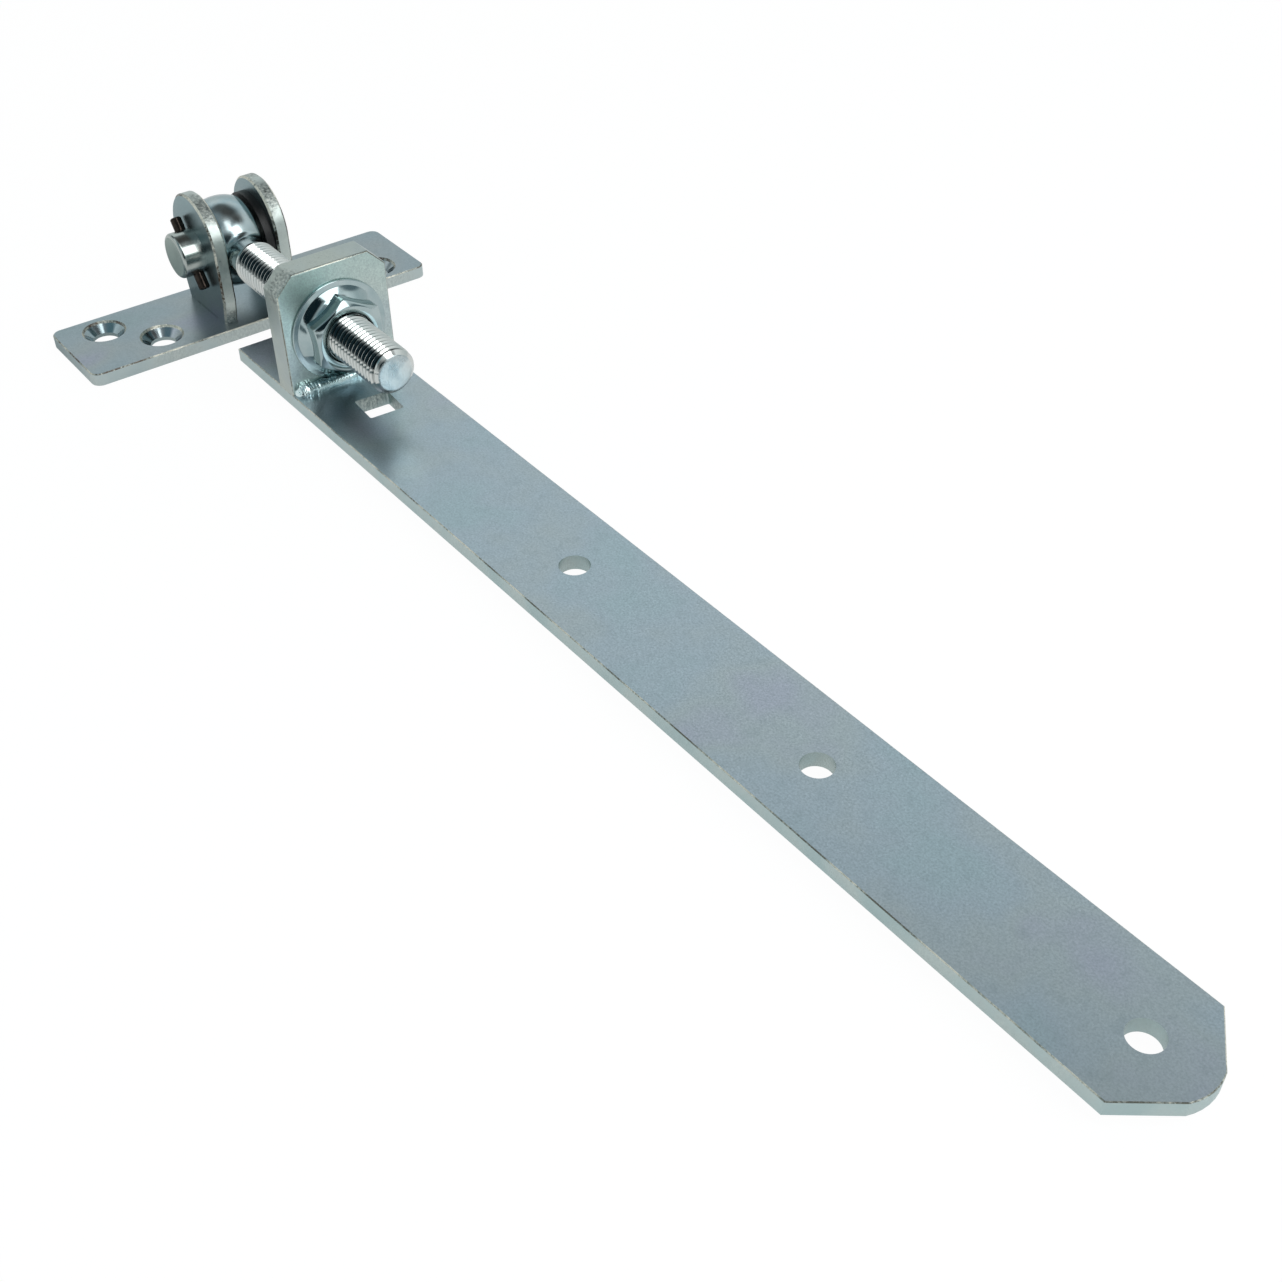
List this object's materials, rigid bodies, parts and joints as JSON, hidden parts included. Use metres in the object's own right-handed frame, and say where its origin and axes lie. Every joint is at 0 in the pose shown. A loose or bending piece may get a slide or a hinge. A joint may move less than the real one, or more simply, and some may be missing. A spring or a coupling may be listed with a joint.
{
  "type": "adjustable gate hinge",
  "caption": "Adjustable gate hinge: eared wall plate, pinned eye bolt with flange nuts, and a long flat strap with a welded lug.",
  "frame": {"origin": "middle of the wall plate's back face, straight below the hinge pin", "axes": "+X along the strap to its tip, +Y along the hinge pin to its head, +Z away from the wall"},
  "size_m": [0.4595, 0.134, 0.0515],
  "materials": {
    "zinc_steel": "bright zinc plated mild steel, satin with a faint blue cast",
    "weld_metal": "zinc plated weld bead, rough",
    "zinc_pin": "zinc plated turned pin",
    "black_steel": "blackened spring steel",
    "black_nylon": "black plastic",
    "zinc_bolt": "bright zinc plated forged and rolled steel",
    "bright_nut": "bright zinc plated flange nut"
  },
  "bodies": {
    "bracket": {"wall_plate": "zinc_steel", "near_ear": "zinc_steel", "far_ear": "zinc_steel", "near_ear_weld": "weld_metal", "far_ear_weld": "weld_metal"},
    "pin": {"hinge_pin": "zinc_pin", "spring_pin": "black_steel"},
    "outer_spacer": {"outer_washer": "black_nylon"},
    "inner_spacer": {"inner_washer": "black_nylon"},
    "eye": {"eye_bolt": "zinc_bolt"},
    "leaf": {"strap": "zinc_steel", "lug_plate": "zinc_steel", "front_weld": "weld_metal", "rear_weld": "weld_metal"},
    "front_lock": {"front_nut": "bright_nut"},
    "rear_lock": {"rear_nut": "bright_nut"}
  },
  "joints": [
    {"name": "gate_swing", "type": "hinge", "parent": "bracket", "child": "eye", "pos_m": [0, 0, 0.028], "axis": [0, -1, 0], "range_deg": [0, 180]},
    {"name": "front_nut_turn", "type": "hinge", "parent": "leaf", "child": "front_lock", "pos_m": [0.0805, -0.00205, 0.028], "axis": [1, 0, 0], "range_deg": [-3430, 4510]},
    {"name": "strap_adjust", "type": "slide", "parent": "eye", "child": "leaf", "axis": [1, 0, 0], "range_m": [-0.019, 0.025]},
    {"name": "rear_nut_turn", "type": "hinge", "parent": "leaf", "child": "rear_lock", "pos_m": [0.07, -0.00205, 0.028], "axis": [1, 0, 0], "range_deg": [-3430, 4510]},
    {"name": "pin_spin", "type": "hinge", "parent": "bracket", "child": "pin", "pos_m": [0, 0, 0.028], "axis": [0, 1, 0], "continuous": true},
    {"name": "outer_washer_spin", "type": "hinge", "parent": "bracket", "child": "outer_spacer", "pos_m": [0, 0, 0.028], "axis": [0, 1, 0], "continuous": true},
    {"name": "inner_washer_spin", "type": "hinge", "parent": "bracket", "child": "inner_spacer", "pos_m": [0, 0, 0.028], "axis": [0, 1, 0], "continuous": true}
  ],
  "couplings": [
    {"joint": "front_nut_turn", "follows": "strap_adjust", "rad_per_m": 3141.6},
    {"joint": "rear_nut_turn", "follows": "strap_adjust", "rad_per_m": 3141.6}
  ]
}
